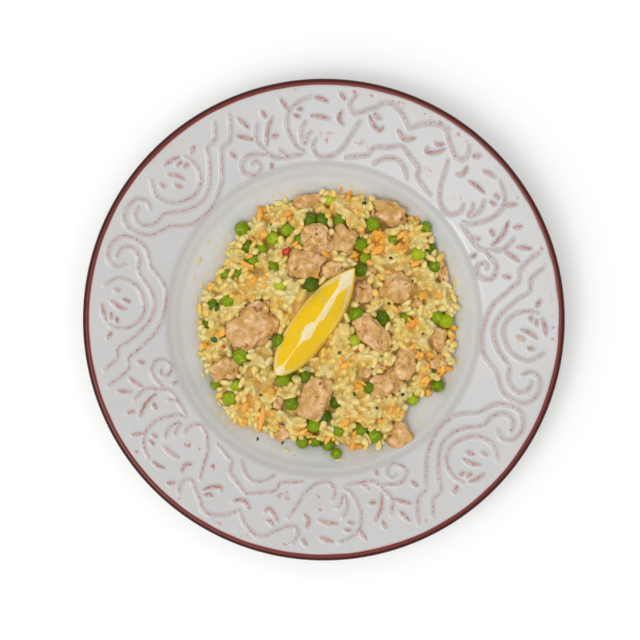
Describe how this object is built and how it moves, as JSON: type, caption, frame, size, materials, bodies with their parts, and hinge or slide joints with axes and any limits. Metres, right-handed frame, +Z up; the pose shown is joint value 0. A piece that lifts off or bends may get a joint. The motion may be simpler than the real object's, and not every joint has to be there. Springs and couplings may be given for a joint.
{
  "type": "plate of paella",
  "caption": "Wide-rimmed deep ceramic plate filled with yellow rice, peas, grated carrot and chunks of chicken, with a lemon wedge on top.",
  "frame": {"origin": "middle of the underside of the plate's foot ring, the point under the centre of the round plate", "axes": "+Z up out of the plate; +Y away from the diner, to the top of the picture; +X to the right"},
  "size_m": [0.27, 0.27, 0.0455],
  "materials": {
    "glazed_plate": "glossy off-white glaze over red clay, with raised ornament on the rim and a bare red-brown lip",
    "cooked_rice": "moist cooked rice tinted yellow, with peas, carrot and herbs",
    "cooked_chicken": "moist cooked chicken with torn faces",
    "lemon": "wet cut lemon with pale pith and bright peel"
  },
  "bodies": {
    "root": {"plate": "glazed_plate", "rice_heap": "cooked_rice", "lemon_wedge": "lemon", "chicken_01": "cooked_chicken", "chicken_02": "cooked_chicken", "chicken_03": "cooked_chicken", "chicken_04": "cooked_chicken", "chicken_05": "cooked_chicken", "chicken_06": "cooked_chicken", "chicken_07": "cooked_chicken", "chicken_08": "cooked_chicken", "chicken_09": "cooked_chicken", "chicken_10": "cooked_chicken", "chicken_11": "cooked_chicken", "chicken_12": "cooked_chicken", "chicken_13": "cooked_chicken", "chicken_14": "cooked_chicken", "chicken_15": "cooked_chicken", "chicken_16": "cooked_chicken", "chicken_17": "cooked_chicken", "chicken_18": "cooked_chicken"}
  },
  "joints": []
}
